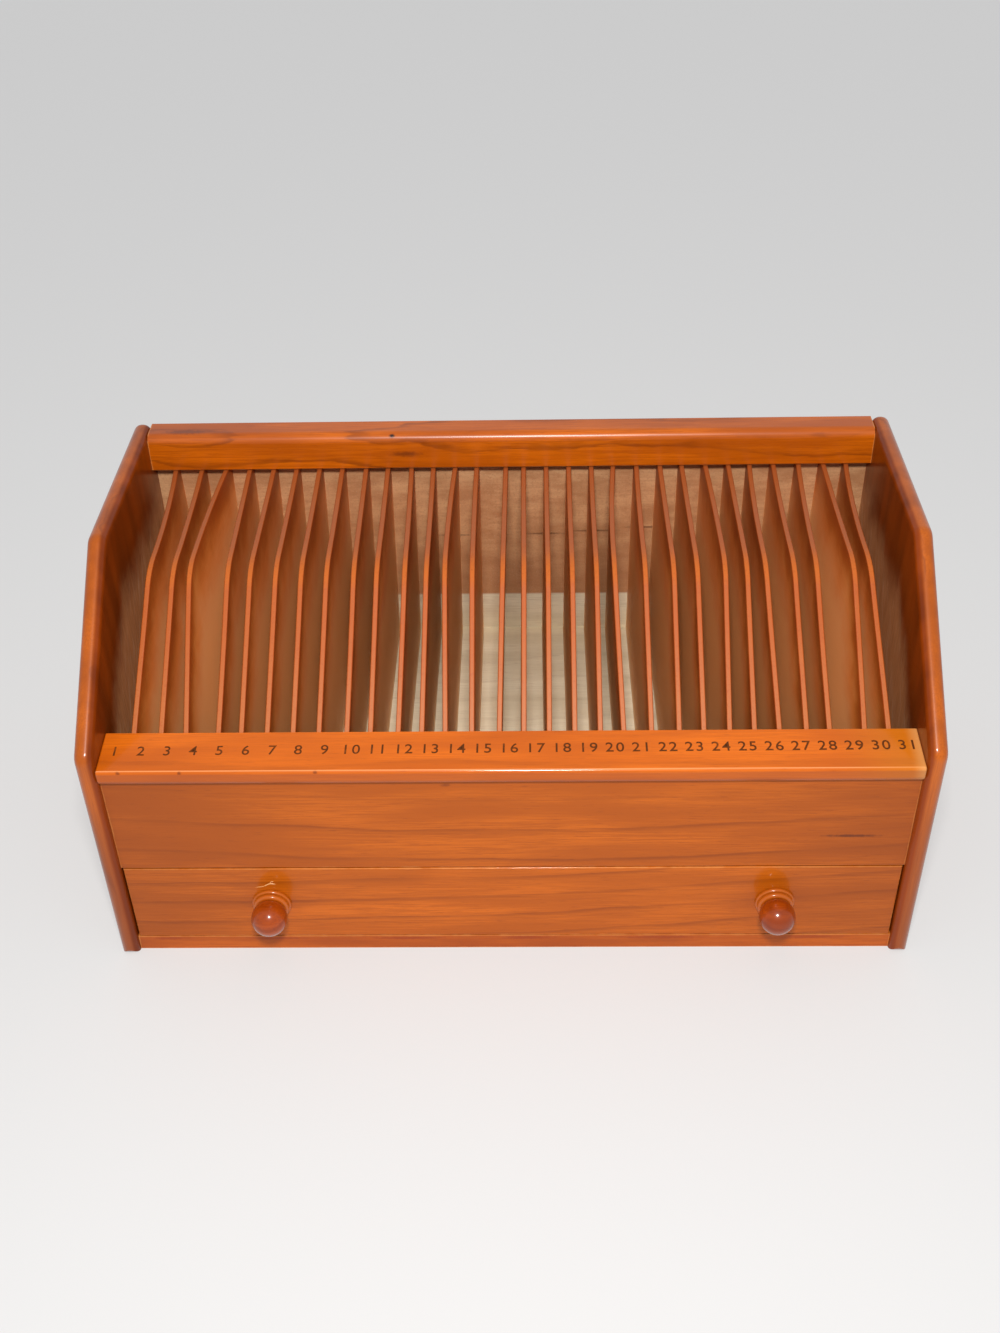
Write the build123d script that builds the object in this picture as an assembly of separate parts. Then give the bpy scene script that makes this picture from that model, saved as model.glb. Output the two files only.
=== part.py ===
from build123d import *
import os
from math import pi, sin

os.makedirs("parts", exist_ok=True)

# An envelope sorter: 31 upright slots over one drawer, in thin stained boards.
# Millimetres. X runs along the front, Y from the front to the back, Z up.
# The origin is the middle of the carcase's flat underside.

# ---------------------------------------------------------------- driving sizes
# the row of dividers
divider_count = 30
divider_pitch = 12.0          # from one divider's foot to the next
end_pitch = 14.0              # from a side board to the first divider's middle
divider_thickness = 2.5
divider_bend_radius = 30.0    # the soft bend in a divider's top edge
divider_bend_setback = 5.0    # the dividers bend this far behind the sides
divider_edge_ease = 0.5       # the sanded round along a divider's top edge
foot_groove_depth = 2.5       # how deep a divider's foot stands in the slot floor
foot_groove_play = 0.1        # room on each side of the foot

# the two side boards
side_thickness = 9.0
side_height = 196.5
carcase_depth = 194.0
front_edge_height = 130.0     # up to the lower bend
top_edge_length = 111.0       # from the upper bend to the back
side_bend_radius = 8.0
side_corner_radius = 5.0
side_toe_radius = 3.5         # the rounded toe at the bottom of the front edge
side_edge_round = 4.2         # the round worked along both faces' edges
side_round_share = 0.47       # the most of the thickness that each round may take
side_nose = 4.0               # the front edges stand ahead of the panels' face

# the boards between the sides
base_thickness = 9.0
drawer_bay_height = 48.5      # from the base up to the fixed front panel
panel_thickness = 9.0
panel_height = 56.5
floor_rebate = 1.0            # the slot floor lies this far above the panel's lower edge
floor_thickness = 6.5
dado_depth = 3.0              # how deep the slot floor's ends stand in the sides
back_panel_thickness = 6.0
back_panel_inset = 1.0        # ahead of the sides' back edges
rabbet_depth = 5.0            # how deep the back panel's ends stand in the sides

# the numbered rail over the front panel
number_rail_depth = 24.5
number_rail_thickness = 11.4
number_rail_overhang = 3.5    # ahead of the panels' face
number_rail_fall = 2.7        # the top face falls this much towards the front
number_rail_top_round = 1.8
number_rail_lower_round = 3.6
number_rail_end_round = 0.8

# the rail along the back
back_rail_depth = 15.5
back_rail_height = 20.0
back_rail_drop = 1.2          # below the sides' top edges
back_rail_front_round = 4.5
back_rail_edge_ease = 1.0
divider_top_gap = 0.3         # between the dividers and the rails over them

# the drawer
drawer_end_gap = 0.7          # between the drawer and each side board
drawer_top_gap = 0.7
drawer_floor_gap = 0.3        # running gap over the base
drawer_rear_gap = 6.0
drawer_front_thickness = 9.0
drawer_wall_thickness = 6.0
drawer_wall_height = 38.0
drawer_lap = 5.0              # how far the drawer sides lap onto the drawer front
drawer_bottom_thickness = 3.0
drawer_bottom_lift = 4.0      # from the walls' lower edges to the drawer bottom
drawer_groove_depth = 3.0
front_edge_ease = 0.6         # along the edges of the fixed and the drawer front

# the turned knobs and their screws
left_knob_inset = 69.6        # from the drawer front's left end
right_knob_inset = 58.8       # from its right end
flange_radius = 9.6
flange_thickness = 2.0
flange_rim_round = 0.5        # how far the flange's rim bulges
bead_radius = 8.7
bead_set_in = 0.6             # the bead starts this far inside its own radius
neck_radius = 6.0
ball_radius = 8.8
ball_standoff = 10.2          # from the drawer front to the ball's centre
screw_radius = 1.6
screw_play = 0.1              # round the screw in the knob
screw_hole_play = 0.4         # round the screw in the drawer front
screw_head_radius = 3.6
screw_head_thickness = 2.2
screw_bite = 12.0             # how far the screw goes into the knob
screw_tip_room = 1.0

# dowels between the sides and the boards, and pins in the back and the drawer
dowel_radius = 2.5
dowel_play = 0.05
dowel_web = 3.0               # side board left over a dowel's blind end
dowel_bite = 14.0             # how far a dowel goes into a board's end
dowel_end_room = 0.3
pin_radius = 0.7
pin_play = 0.05
pin_length = 18.0
pin_head_radius = 1.4
pin_head_thickness = 0.5
base_dowel_shares = (0.15, 0.5, 0.85)              # along the base, front to back
panel_dowel_shares = (0.25, 0.75)                  # up the fixed front panel
back_pin_heights = (0.1, 0.24, 0.52, 0.74, 0.94)   # up the back panel's two ends
back_pin_places = (-0.8, -0.4, 0.0, 0.4, 0.8)      # across, as shares of half the inside
drawer_pin_heights = (0.4, 0.8)                    # up the drawer's walls

# How the dividers' top edges have sprung sideways with age. The whole row leans
# in one slow wave, and each of these three amounts is mean + swing * wave.
lean_wave_node = 18           # the divider where the wave passes through its mean
front_lean_mean = 0.6
front_lean_swing = 1.2
bend_lean_mean = 0.5
bend_lean_swing = 2.8
back_lean_mean = 0.8
back_lean_swing = 1.2
# Boards that have warped on their own, by number: extra lean at the front end,
# at the bend and at the back end of the top edge.
own_warp = {
    1: (-1.5, 1.0, -3.0),
    2: (-1.0, 0.0, -1.5),
    3: (-1.5, -4.5, -1.0),
    4: (1.5, 1.5, -0.5),
    9: (1.0, 1.0, 0.5),
    11: (1.0, 1.5, 0.5),
    13: (-1.0, -3.0, -0.5),
    14: (-0.5, -1.5, -1.0),
    15: (0.5, 1.5, 2.5),
    20: (-1.0, -3.0, -0.5),
    22: (1.0, 2.0, 0.5),
    23: (0.5, 1.5, 0.0),
    24: (0.5, 3.0, 0.5),
    25: (0.0, 1.5, 0.5),
    26: (-0.5, -1.5, -0.5),
    28: (-1.5, -1.5, 1.0),
    29: (2.5, 4.0, 2.0),
    30: (1.5, -0.5, 1.5),
}

# ---------------------------------------------------------------- tolerances
same_place = 0.01             # two places nearer than this are one
half_way = 0.5                # along an edge, and between along and across

# ---------------------------------------------------------------- derived places
inner_half = (divider_pitch * (divider_count - 1)) / 2 + end_pitch
outer_half = inner_half + side_thickness

nose_y = -carcase_depth / 2
rear_y = carcase_depth / 2
face_y = nose_y + side_nose
panel_back_y = face_y + panel_thickness
back_panel_y = rear_y - back_panel_inset - back_panel_thickness
upper_bend_y = rear_y - top_edge_length

panel_z = base_thickness + drawer_bay_height
panel_top_z = panel_z + panel_height
floor_z = panel_z + floor_rebate
floor_top_z = floor_z + floor_thickness
number_rail_y = face_y - number_rail_overhang
number_rail_back_y = number_rail_y + number_rail_depth
number_rail_top_z = panel_top_z + number_rail_thickness
back_rail_y = rear_y - back_rail_depth
back_rail_z = side_height - back_rail_drop - back_rail_height

divider_top_z = back_rail_z - divider_top_gap
divider_front_y = number_rail_back_y + divider_top_gap
divider_bend_y = upper_bend_y + divider_bend_setback
slot_depth = divider_top_z - floor_top_z


def board(x0, x1, y0, y1, z0, z1):
    """A rectangular board between two corners."""
    middle = Pos((x0 + x1) / 2, (y0 + y1) / 2, (z0 + z1) / 2)
    return middle * Box(x1 - x0, y1 - y0, z1 - z0)


def rod_x(x0, x1, y, z, radius):
    """A round rod along X."""
    return Pos((x0 + x1) / 2, y, z) * Rot(0, 90, 0) * Cylinder(radius, abs(x1 - x0))


def rod_y(x, y0, y1, z, radius):
    """A round rod along Y."""
    return Pos(x, (y0 + y1) / 2, z) * Rot(90, 0, 0) * Cylinder(radius, abs(y1 - y0))


def prism_x(outline, x0, x1):
    """A face in the plane x = 0, run along X from x0 to x1."""
    return extrude(Pos(x0, 0, 0) * outline, amount=x1 - x0, dir=(1, 0, 0))


def yz_face(points):
    """A flat face through (y, z) points in the plane x = 0."""
    corners = [(0, y, z) for y, z in points]
    return make_face(Polyline(*corners, close=True))


def is_at(place, wanted):
    """Whether a place along an axis is the wanted one, which may also be left open."""
    return wanted is None or abs(place - wanted) < same_place


def edges_near(shape, y=None, z=None):
    """The edges whose middle lies at y, at z or at both."""
    def matches(edge):
        middle = edge.center(CenterOf.BOUNDING_BOX)
        return is_at(middle.Y, y) and is_at(middle.Z, z)
    return shape.edges().filter_by(matches)


def runs_lengthwise(edge):
    """Whether an edge runs along an upright board rather than through its thickness."""
    return abs(edge.tangent_at(half_way).X) < half_way


# ---------------------------------------------------------------- dowels and pins
def dowel_spots():
    """Where the dowels cross from the sides into the boards, as (y, z)."""
    base_length = back_panel_y - face_y
    spots = [(face_y + base_length * share, base_thickness / 2) for share in base_dowel_shares]
    spots += [(face_y + panel_thickness / 2, panel_z + panel_height * share) for share in panel_dowel_shares]
    rail_middle_y = (number_rail_y + number_rail_back_y) / 2
    spots.append((rail_middle_y, panel_top_z + (number_rail_thickness - number_rail_fall / 2) / 2))
    spots.append((back_rail_y + back_rail_depth / 2, back_rail_z + back_rail_height / 2))
    return spots


def dowel(side, y, z, play=0.0, end_room=0.0):
    """One dowel, or with play the hole it stands in, at the left (-1) or right (+1) side."""
    blind = inner_half + side_thickness - dowel_web - end_room
    root = inner_half - dowel_bite + end_room
    return rod_x(side * root, side * blind, y, z, dowel_radius + play)


def dowel_holes():
    return [dowel(side, y, z, dowel_play) for side in (-1, 1) for y, z in dowel_spots()]


def carcase_dowels():
    return [dowel(side, y, z, 0.0, dowel_end_room) for side in (-1, 1) for y, z in dowel_spots()]


def back_pin_spots():
    """Where the back panel is pinned, as (x, z)."""
    panel_rim = inner_half + rabbet_depth / 2
    spots = []
    for share in back_pin_heights:
        spots += [(-panel_rim, back_rail_z * share), (panel_rim, back_rail_z * share)]
    for share in back_pin_places:
        spots.append((inner_half * share, base_thickness / 2))
        spots.append((inner_half * share, floor_z + (floor_thickness - foot_groove_depth) / 2))
    return spots


def back_pin(x, z):
    face = back_panel_y + back_panel_thickness
    shank = rod_y(x, face - pin_length, face, z, pin_radius)
    return shank + rod_y(x, face, face + pin_head_thickness, z, pin_head_radius)


def back_pin_holes():
    face = back_panel_y + back_panel_thickness
    return [rod_y(x, face - pin_length, face, z, pin_radius + pin_play) for x, z in back_pin_spots()]


# ---------------------------------------------------------------- carcase boards
def side_board(side):
    """The left (-1) or right (+1) side: one board with a sloped front and rounded edges."""
    outline = yz_face([
        (rear_y, 0),
        (nose_y, 0),
        (nose_y, front_edge_height),
        (upper_bend_y, side_height),
        (rear_y, side_height),
    ])
    bends = outline.vertices().filter_by(lambda v: v.Z > same_place and v.Y < rear_y - same_place)
    outline = fillet(bends, side_bend_radius)
    back_corner = outline.vertices().sort_by(lambda v: v.Y + v.Z)[-1]
    outline = fillet(back_corner, side_corner_radius)
    blank = prism_x(outline, inner_half, outer_half)
    rims = blank.edges().filter_by(runs_lengthwise)
    rims = rims.filter_by(lambda e: e.center(CenterOf.BOUNDING_BOX).Z > same_place)
    blank = fillet(rims, min(side_edge_round, side_round_share * side_thickness))
    toe = board(0, 2 * outer_half, nose_y, nose_y + side_toe_radius, 0, side_toe_radius)
    toe -= rod_x(0, 2 * outer_half, nose_y + side_toe_radius, side_toe_radius, side_toe_radius)
    dado = board(0, inner_half + dado_depth, panel_back_y, back_panel_y, floor_z, floor_top_z)
    rabbet = board(0, inner_half + rabbet_depth, back_panel_y, rear_y, 0, back_rail_z)
    blank = blank - toe - dado - rabbet
    if side < 0:
        blank = mirror(blank, Plane.YZ)
    return blank - dowel_holes() - back_pin_holes()


def base_board():
    plain = board(-inner_half, inner_half, face_y, back_panel_y, 0, base_thickness)
    return plain - dowel_holes() - back_pin_holes()


def front_panel():
    plain = board(-inner_half, inner_half, face_y, panel_back_y, panel_z, panel_top_z)
    plain = fillet(edges_near(plain, y=face_y, z=panel_z), front_edge_ease)
    return plain - dowel_holes()


def slot_floor():
    """The floor of the slots, grooved for the dividers' feet and let into the sides."""
    end = inner_half + dado_depth
    plain = board(-end, end, panel_back_y, back_panel_y, floor_z, floor_top_z)
    groove_half = divider_thickness / 2 + foot_groove_play
    groove_z = floor_top_z - foot_groove_depth
    for number in range(1, divider_count + 1):
        x = divider_x(number)
        plain -= board(x - groove_half, x + groove_half, panel_back_y, back_panel_y, groove_z, floor_top_z)
    return plain - back_pin_holes()


def back_panel():
    end = inner_half + rabbet_depth
    face = back_panel_y + back_panel_thickness
    return board(-end, end, back_panel_y, face, 0, back_rail_z) - back_pin_holes()


def number_rail():
    """The front rail: its top falls to a rounded front edge with a deeper round below."""
    front_top_z = number_rail_top_z - number_rail_fall
    profile = yz_face([
        (number_rail_back_y, panel_top_z),
        (number_rail_back_y, number_rail_top_z),
        (number_rail_y, front_top_z),
        (number_rail_y, panel_top_z),
    ])
    front = profile.vertices().sort_by(Axis.Y)[:2].sort_by(Axis.Z)
    profile = fillet(front[1], number_rail_top_round)
    front = profile.vertices().sort_by(lambda v: v.Y + v.Z)[0]
    profile = fillet(front, number_rail_lower_round)
    rail = prism_x(profile, -inner_half, inner_half)
    front_ends = rail.edges().filter_by(
        lambda e: is_at(abs(e.center().X), inner_half) and e.center().Y < panel_back_y
    )
    front_ends = front_ends.filter_by(lambda e: e.center().Z > panel_top_z + same_place)
    rail = fillet(front_ends, number_rail_end_round)
    return rail - dowel_holes()


def back_rail():
    """The back rail, with a bold round along its upper front edge."""
    top_z = back_rail_z + back_rail_height
    rail = board(-inner_half, inner_half, back_rail_y, rear_y, back_rail_z, top_z)
    rail = fillet(edges_near(rail, y=back_rail_y, z=top_z), back_rail_front_round)
    rail = fillet(edges_near(rail, y=rear_y, z=top_z), back_rail_edge_ease)
    rail = fillet(edges_near(rail, y=back_rail_y, z=back_rail_z), back_rail_edge_ease)
    return rail - dowel_holes()


# ---------------------------------------------------------------- dividers
def divider_x(number):
    """The middle of a divider's foot, counted from 1 at the left."""
    return (number - (divider_count + 1) / 2) * divider_pitch


def divider_lean(number):
    """How far the top edge leans at its front end, at its bend and at its back end."""
    wave = sin(pi * (lean_wave_node - number) / lean_wave_node)
    front_warp, bend_warp, back_warp = own_warp.get(number, (0, 0, 0))
    front = front_lean_mean + front_lean_swing * wave + front_warp
    bend = bend_lean_mean + bend_lean_swing * wave + bend_warp
    back = back_lean_mean + back_lean_swing * wave + back_warp
    return front, bend, back


def divider_spring(number, y):
    """Sideways spring at the level of the divider's top: a parabola through three leans."""
    front, bend, back = divider_lean(number)
    front_rise = (number_rail_top_z - floor_top_z) / slot_depth
    known = [(divider_front_y, front / front_rise), (divider_bend_y, bend), (back_rail_y, back)]
    spring = 0
    for here, lean in known:
        others = [there for there, _ in known if there != here]
        spring += lean * (y - others[0]) * (y - others[1]) / (here - others[0]) / (here - others[1])
    return spring


def divider_outline():
    """The divider seen from the side: a notch under the front rail, a slope and a level top."""
    notch_z = panel_top_z - divider_top_gap
    foot_z = floor_top_z - foot_groove_depth
    outline = yz_face([
        (back_panel_y, foot_z),
        (panel_back_y, foot_z),
        (panel_back_y, notch_z),
        (divider_front_y, notch_z),
        (divider_front_y, number_rail_top_z - divider_top_gap),
        (divider_bend_y, divider_top_z),
        (back_panel_y, divider_top_z),
    ])
    bend = outline.vertices().filter_by(lambda v: is_at(v.Y, divider_bend_y) and is_at(v.Z, divider_top_z))
    return fillet(bend, divider_bend_radius)


def divider(number):
    """A thin upright board: its foot is straight and its top edge has sprung sideways."""
    x = divider_x(number)
    half = divider_thickness / 2
    middle_y = (panel_back_y + back_panel_y) / 2
    front_x = x + divider_spring(number, panel_back_y)
    back_x = x + divider_spring(number, back_panel_y)
    # the pole that makes a quadratic curve the parabola itself
    pole_x = 2 * (x + divider_spring(number, middle_y)) - (front_x + back_x) / 2
    ends = [(front_x, panel_back_y), (pole_x, middle_y), (back_x, back_panel_y)]
    left = Bezier(*[(px - half, py, divider_top_z) for px, py in ends])
    right = Bezier(*[(px + half, py, divider_top_z) for px, py in reversed(ends)])
    top = make_face([left, Line(left @ 1, right @ 0), right, Line(right @ 1, left @ 0)])
    foot = Pos(x, middle_y, floor_top_z) * Rectangle(divider_thickness, back_panel_y - panel_back_y)
    sheet = loft([foot, top], ruled=True)
    foot_z = floor_top_z - foot_groove_depth
    sheet += board(x - half, x + half, panel_back_y, back_panel_y, foot_z, floor_top_z)
    outline = prism_x(divider_outline(), x - 2 * divider_pitch, x + 2 * divider_pitch)
    cut = sheet & outline
    rims = cut.edges().filter_by(runs_lengthwise)
    rims = rims.filter_by(lambda e: on_divider_top(e.center(CenterOf.BOUNDING_BOX)))
    return fillet(rims, divider_edge_ease)


def on_divider_top(point):
    """Whether a point lies on the slope, the bend or the level of a divider's top edge."""
    between_ends = divider_front_y + same_place < point.Y < back_panel_y - same_place
    return between_ends and point.Z > number_rail_top_z


# ---------------------------------------------------------------- drawer
drawer_half = inner_half - drawer_end_gap
drawer_z = base_thickness + drawer_floor_gap
drawer_front_back_y = face_y + drawer_front_thickness
drawer_wall_y = drawer_front_back_y - drawer_lap
drawer_rear_y = back_panel_y - drawer_rear_gap
drawer_wall_top_z = drawer_z + drawer_wall_height
drawer_bottom_z = drawer_z + drawer_bottom_lift
drawer_front_top_z = panel_z - drawer_top_gap
knob_z = (drawer_z + drawer_front_top_z) / 2
knob_places = {"left": -drawer_half + left_knob_inset, "right": drawer_half - right_knob_inset}


def drawer_bottom():
    side_end = drawer_half - drawer_wall_thickness + drawer_groove_depth
    front_end = drawer_front_back_y - drawer_groove_depth
    rear_end = drawer_rear_y - drawer_wall_thickness + drawer_groove_depth
    top = drawer_bottom_z + drawer_bottom_thickness
    return board(-side_end, side_end, front_end, rear_end, drawer_bottom_z, top)


def drawer_pins(play=0.0):
    """Pins through the drawer sides into the front and into the back, two at each corner."""
    front_y = (drawer_wall_y + drawer_front_back_y) / 2
    back_y = drawer_rear_y - drawer_wall_thickness / 2
    radius = pin_radius + play
    pins = []
    for share in drawer_pin_heights:
        z = drawer_z + drawer_wall_height * share
        for y in (front_y, back_y):
            pins.append(rod_x(drawer_half - pin_length, drawer_half, y, z, radius))
            pins.append(rod_x(pin_length - drawer_half, -drawer_half, y, z, radius))
    return pins


def drawer_front():
    """The drawer front, rabbeted behind for the sides and bored for the knobs' screws."""
    front = board(-drawer_half, drawer_half, face_y, drawer_front_back_y, drawer_z, drawer_front_top_z)
    front = fillet(edges_near(front, y=face_y), front_edge_ease)
    for side in (-1, 1):
        front -= drawer_side(side, plain=True)
    for x in knob_places.values():
        front -= rod_y(x, face_y, drawer_front_back_y, knob_z, screw_radius + screw_hole_play)
    return front - drawer_bottom() - drawer_pins(pin_play)


def drawer_side(side, plain=False):
    inner = side * (drawer_half - drawer_wall_thickness)
    low, high = sorted((inner, side * drawer_half))
    wall = board(low, high, drawer_wall_y, drawer_rear_y, drawer_z, drawer_wall_top_z)
    return wall if plain else wall - drawer_bottom() - drawer_pins(pin_play)


def drawer_back():
    end = drawer_half - drawer_wall_thickness
    front = drawer_rear_y - drawer_wall_thickness
    wall = board(-end, end, front, drawer_rear_y, drawer_z, drawer_wall_top_z)
    return wall - drawer_bottom() - drawer_pins(pin_play)


def knob(x):
    """A turned knob: flange, bead, narrow neck and ball, on the drawer front's face."""
    neck_out = ball_standoff - (ball_radius**2 - neck_radius**2) ** 0.5
    bead_out = (flange_thickness + neck_out) / 2
    tip = ball_standoff + ball_radius
    flat = flange_radius - flange_rim_round
    profile = [
        Line((0, 0), (flat, 0)),
        ThreePointArc((flat, 0), (flange_radius, flange_thickness / 2), (flat, flange_thickness)),
        Line((flat, flange_thickness), (bead_radius - bead_set_in, flange_thickness)),
        ThreePointArc(
            (bead_radius - bead_set_in, flange_thickness),
            (bead_radius, bead_out),
            (neck_radius, neck_out),
        ),
        ThreePointArc(
            (neck_radius, neck_out),
            (ball_radius, ball_standoff),
            (0, tip),
        ),
        Line((0, tip), (0, 0)),
    ]
    turned = revolve(make_face(profile), Axis.Y)
    turned = Rot(0, 0, 180) * turned
    bore_end = face_y - screw_bite - screw_tip_room
    placed = Pos(x, face_y, knob_z) * turned
    return placed - rod_y(x, bore_end, face_y, knob_z, screw_radius + screw_play)


def knob_screw(x):
    """A screw from inside the drawer, its head against the drawer front's back."""
    shank = rod_y(x, face_y - screw_bite, drawer_front_back_y, knob_z, screw_radius)
    head_back = drawer_front_back_y + screw_head_thickness
    head = rod_y(x, drawer_front_back_y, head_back, knob_z, screw_head_radius)
    head = fillet(edges_near(head, y=head_back), screw_head_thickness / 2)
    return shank + head


# ---------------------------------------------------------------- the parts
parts = {
    "left_side": side_board(-1),
    "right_side": side_board(1),
    "base_board": base_board(),
    "front_panel": front_panel(),
    "slot_floor": slot_floor(),
    "back_panel": back_panel(),
    "number_rail": number_rail(),
    "back_rail": back_rail(),
    "drawer_front": drawer_front(),
    "drawer_left_side": drawer_side(-1),
    "drawer_right_side": drawer_side(1),
    "drawer_back": drawer_back(),
    "drawer_bottom": drawer_bottom(),
    "carcase_dowels": Compound(carcase_dowels()),
    "back_panel_pins": Compound([back_pin(x, z) for x, z in back_pin_spots()]),
    "drawer_pins": Compound(drawer_pins()),
    "knob_screws": Compound([knob_screw(x) for x in knob_places.values()]),
}
for name, place in knob_places.items():
    parts[f"knob_{name}"] = knob(place)
for number in range(1, divider_count + 1):
    parts[f"divider_{number:02d}"] = divider(number)

for name, shape in parts.items():
    export_step(shape, f"parts/{name}.step")
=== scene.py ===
# %% Load the sorter's frame
import bpy
from math import atan2, cos, radians, sin
from mathutils import Matrix, Vector


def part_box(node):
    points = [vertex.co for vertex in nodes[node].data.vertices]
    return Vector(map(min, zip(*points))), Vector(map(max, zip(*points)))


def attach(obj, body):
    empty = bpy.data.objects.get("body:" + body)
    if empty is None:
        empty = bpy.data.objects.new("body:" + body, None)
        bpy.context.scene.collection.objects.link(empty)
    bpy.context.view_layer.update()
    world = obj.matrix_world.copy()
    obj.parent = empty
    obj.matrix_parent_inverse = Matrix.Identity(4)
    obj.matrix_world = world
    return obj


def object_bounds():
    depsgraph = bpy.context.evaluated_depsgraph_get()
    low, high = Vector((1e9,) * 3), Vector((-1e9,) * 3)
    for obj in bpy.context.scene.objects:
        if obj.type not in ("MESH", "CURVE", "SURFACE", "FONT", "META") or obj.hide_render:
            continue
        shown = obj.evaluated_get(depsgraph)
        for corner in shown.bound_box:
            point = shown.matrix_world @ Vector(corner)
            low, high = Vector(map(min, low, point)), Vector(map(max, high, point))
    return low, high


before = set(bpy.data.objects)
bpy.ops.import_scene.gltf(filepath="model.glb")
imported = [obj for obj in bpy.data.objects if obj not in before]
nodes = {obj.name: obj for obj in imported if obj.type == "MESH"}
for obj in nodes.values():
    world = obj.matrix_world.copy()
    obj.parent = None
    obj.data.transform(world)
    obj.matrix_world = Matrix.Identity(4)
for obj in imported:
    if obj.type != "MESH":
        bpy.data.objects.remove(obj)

cad_low, cad_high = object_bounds()
mm = 0.001

# %% [markdown]
# # An old bill sorter in stained wood
# The object is a desk sorter with 31 slots between thin dividers, and one drawer.
# Its boards are already modelled at their real size, so most of the work here is finish:
# an orange-brown stain under lacquer where hands and eyes reach, and raw wood deep inside.
# The camera and the light come first, so that every later choice is judged in the right view.

# %% Camera
# The view looks down on the front from a little to the right of its middle.
camera_place = Vector((11.6, -592.4, 571.9)) * mm
camera_down = radians(38.12)
camera_left = radians(-1.64)
camera_roll = radians(1.42)
camera_lens = 39.97

level_share = cos(camera_down)
forward = Vector((sin(camera_left) * level_share, cos(camera_left) * level_share, -sin(camera_down)))
level_right = Vector((cos(camera_left), -sin(camera_left), 0))
level_up = level_right.cross(forward)
right = level_right * cos(camera_roll) - level_up * sin(camera_roll)
up = level_right * sin(camera_roll) + level_up * cos(camera_roll)
turn = Matrix((right, up, -forward)).transposed()

camera_data = bpy.data.cameras.new("view")
camera_data.lens = camera_lens
camera_data.clip_start = 10 * mm
camera = bpy.data.objects.new("view", camera_data)
camera.matrix_world = Matrix.Translation(camera_place) @ turn.to_4x4()
bpy.context.scene.collection.objects.link(camera)
bpy.context.scene.camera = camera
print("camera", round(camera_place.length, 3), "m from the middle of the base")

# %% [markdown]
# ## Small helpers for shader nodes
# Every finish below is a tree of nodes. Written out, each node takes four or five lines, so
# these helpers add one and set or link its inputs in a single call.

# %% Node helpers
def add(tree, kind, links=None, **settings):
    """Adds a node, sets its fields, and sets or links its inputs by name or number."""
    node = tree.nodes.new(kind)
    for name, value in settings.items():
        setattr(node, name, value)
    for name, value in (links or {}).items():
        if isinstance(value, bpy.types.NodeSocket):
            tree.links.new(value, node.inputs[name])
        else:
            node.inputs[name].default_value = value
    return node


def sums(tree, operation, *values):
    """A Math node's output; the values are numbers or sockets."""
    return add(tree, "ShaderNodeMath", dict(enumerate(values)), operation=operation).outputs[0]


def times(tree, first, second):
    return sums(tree, "MULTIPLY", first, second)


def vector_math(tree, operation, first, second=None, scale=None):
    """A Vector Math node's outputs: the vector, and then the single value."""
    links = {0: first}
    if second is not None:
        links[1] = second
    if scale is not None:
        links["Scale"] = scale
    return add(tree, "ShaderNodeVectorMath", links, operation=operation).outputs


def parts(tree, vector):
    """The X, Y and Z of a vector."""
    return add(tree, "ShaderNodeSeparateXYZ", {0: vector}).outputs


def to_mm(tree, vector):
    return vector_math(tree, "SCALE", vector, scale=1 / mm)[0]


def ramp(tree, value, low, high, out_low=0.0, out_high=1.0):
    """Smoothly turns low..high into out_low..out_high."""
    links = {"Value": value, "From Min": low, "From Max": high, "To Min": out_low, "To Max": out_high}
    node = add(tree, "ShaderNodeMapRange", links, interpolation_type="SMOOTHSTEP")
    return node.outputs["Result"]


def blend_colour(tree, share, first, second):
    """Mixes two colours, each a socket or three numbers."""
    links = {0: share}
    for socket, colour in ((6, first), (7, second)):
        links[socket] = (*colour, 1) if isinstance(colour, tuple) else colour
    return add(tree, "ShaderNodeMix", links, data_type="RGBA").outputs[2]


def noise(tree, vector, scale=1.0, detail=2.0, roughness=0.5):
    links = {"Vector": vector, "Scale": scale, "Detail": detail, "Roughness": roughness}
    return add(tree, "ShaderNodeTexNoise", links).outputs["Fac"]


def stretch(tree, vector, along, across, offset=0.0):
    """Scales a vector in millimetres so that noise is long along X and short across it."""
    links = {"Vector": vector, "Location": (offset, offset, offset)}
    links["Scale"] = (1 / along, 1 / across, 1 / across)
    return add(tree, "ShaderNodeMapping", links).outputs["Vector"]


def new_group(name, inputs, outputs):
    """An empty shader group with named sockets; each input is (name, kind, value)."""
    group = bpy.data.node_groups.new(name, "ShaderNodeTree")
    for label, kind, value in inputs:
        socket = group.interface.new_socket(label, in_out="INPUT", socket_type=f"NodeSocket{kind}")
        if value is not None:
            socket.default_value = value
    for label, kind in outputs:
        group.interface.new_socket(label, in_out="OUTPUT", socket_type=f"NodeSocket{kind}")
    return group, add(group, "NodeGroupInput").outputs, add(group, "NodeGroupOutput").inputs


def group_node(tree, group, links):
    return add(tree, "ShaderNodeGroup", links, node_tree=group).outputs


print("helpers ready")

# %% [markdown]
# ## Floor and light
# The sorter stands on a pale surface in soft light. The slots are deep and narrow, so a lamp
# from the side would leave them black. One lamp therefore stands just above the viewer: it
# reaches the slots' floor, and draws the highlight on the back rail's round.
# The camera and the gloss see a floor and a world that are partly their own brightness, which
# keeps the background pale and even, while a dimmer world lights the wood.

# %% Floor and world
floor_size = 8
floor_pale = (0.78, 0.775, 0.77)
floor_roughness = 0.8
floor_glow = 0.5        # the share of the floor's seen colour that is its own light
sky_colour = (0.96, 0.975, 1.0)
sky_light = 0.52
sky_seen = 0.1          # what the camera and the gloss see on top of that light


def plain_material(name, colour, roughness):
    material = bpy.data.materials.new(name)
    material.use_nodes = True
    shader = material.node_tree.nodes["Principled BSDF"]
    shader.inputs["Base Color"].default_value = (*colour, 1)
    shader.inputs["Roughness"].default_value = roughness
    return material


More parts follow.
